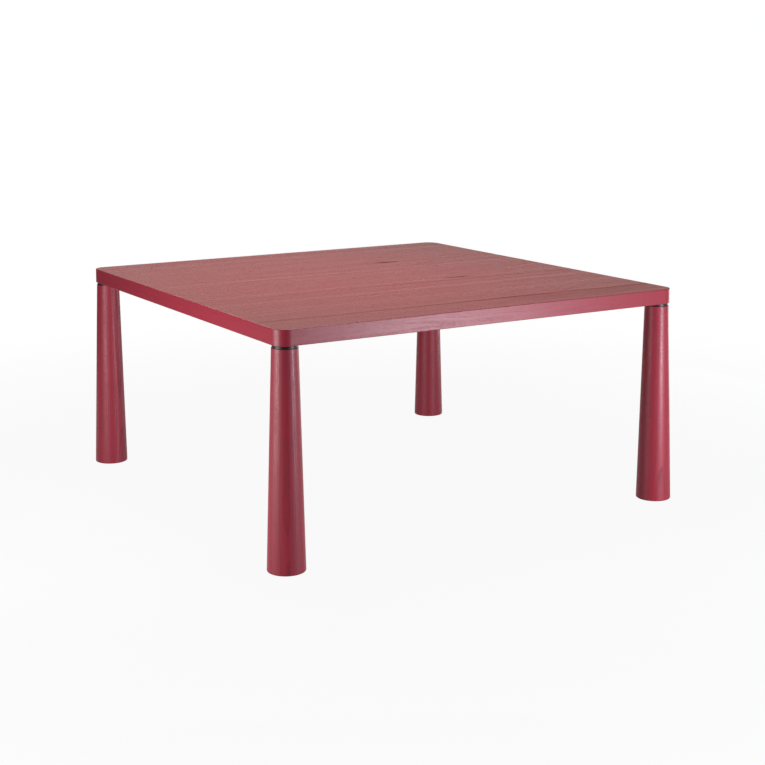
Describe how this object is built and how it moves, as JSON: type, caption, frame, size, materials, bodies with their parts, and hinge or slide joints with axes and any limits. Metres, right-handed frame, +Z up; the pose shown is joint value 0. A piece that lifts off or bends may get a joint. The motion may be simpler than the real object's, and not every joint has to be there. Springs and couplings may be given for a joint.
{
  "type": "square dining table",
  "caption": "Square dining table: thick veneered top with rounded corners, on turned legs that widen to the floor and stand under each corner on a black neck disc.",
  "frame": {"origin": "on the floor under the centre of the top", "axes": "+Z up; +X along the front edge and the grain of the top; +Y from the front edge to the back edge"},
  "size_m": [1.5303, 1.5302, 0.725],
  "materials": {
    "chipboard": "raw board",
    "face_veneer": "semi-matt red stain and clear lacquer, straight grain",
    "backing_veneer": "semi-matt red stain and clear lacquer",
    "lipping_wood": "semi-matt red stain and clear lacquer",
    "block_wood": "semi-matt red stain and clear lacquer",
    "leg_wood": "semi-matt red stain and clear lacquer",
    "beech": "planed",
    "zinc_steel": "bright zinc",
    "black_steel": "satin black powder coat",
    "nylon": "moulded, matt"
  },
  "bodies": {
    "root": {"core_board": "chipboard", "face_veneer": "face_veneer", "backing_veneer": "backing_veneer", "lipping_front": "lipping_wood", "lipping_back": "lipping_wood", "lipping_left": "lipping_wood", "lipping_right": "lipping_wood", "corner_block_front_left": "block_wood", "corner_block_front_right": "block_wood", "corner_block_back_left": "block_wood", "corner_block_back_right": "block_wood", "lipping_tongues": "beech", "block_dowels": "beech", "top_bushes": "zinc_steel", "neck_disc_front_left": "black_steel", "neck_disc_front_right": "black_steel", "neck_disc_back_left": "black_steel", "neck_disc_back_right": "black_steel", "leg_studs": "zinc_steel", "leg_bushes": "zinc_steel", "leg_front_left": "leg_wood", "leg_front_right": "leg_wood", "leg_back_left": "leg_wood", "leg_back_right": "leg_wood", "glide_front_left": "nylon", "glide_front_right": "nylon", "glide_back_left": "nylon", "glide_back_right": "nylon", "glide_screws": "zinc_steel"}
  },
  "joints": []
}
